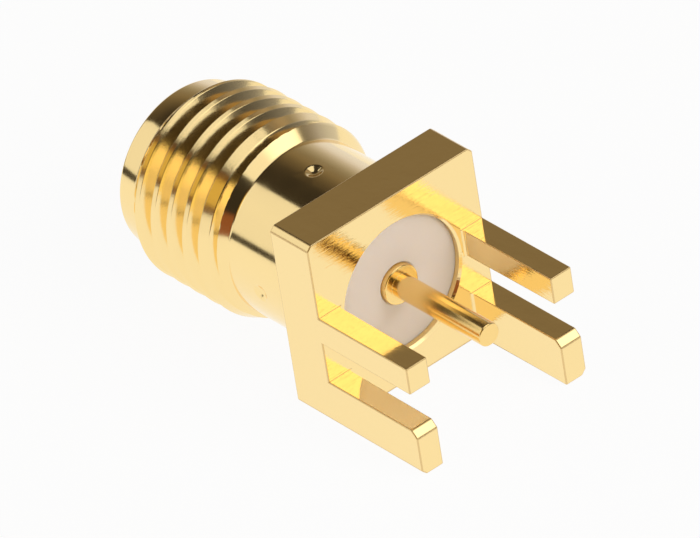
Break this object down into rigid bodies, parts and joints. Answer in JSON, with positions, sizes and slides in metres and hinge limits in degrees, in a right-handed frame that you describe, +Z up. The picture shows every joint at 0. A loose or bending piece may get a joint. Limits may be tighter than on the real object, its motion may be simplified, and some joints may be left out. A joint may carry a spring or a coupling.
{
  "type": "edge launch sma jack",
  "caption": "Gold-plated edge-launch coaxial jack: threaded barrel, square flange with board legs, white dielectric bead and a straight solder pin.",
  "frame": {"origin": "where the connector's axis crosses the flange face that butts against the board's edge", "axes": "+X along the axis from the mating mouth towards the board, +Z up and square to the board, +Y across the board"},
  "size_m": [0.0133, 0.0064, 0.0064],
  "materials": {
    "gold_plated_brass": "hard gold over turned and milled brass, bright",
    "ptfe": "milky translucent fluoropolymer, smooth",
    "gold_plated_contact": "hard gold over turned beryllium copper, bright"
  },
  "bodies": {
    "root": {"connector_body": "gold_plated_brass", "insulator": "ptfe", "centre_contact": "gold_plated_contact"}
  },
  "joints": []
}
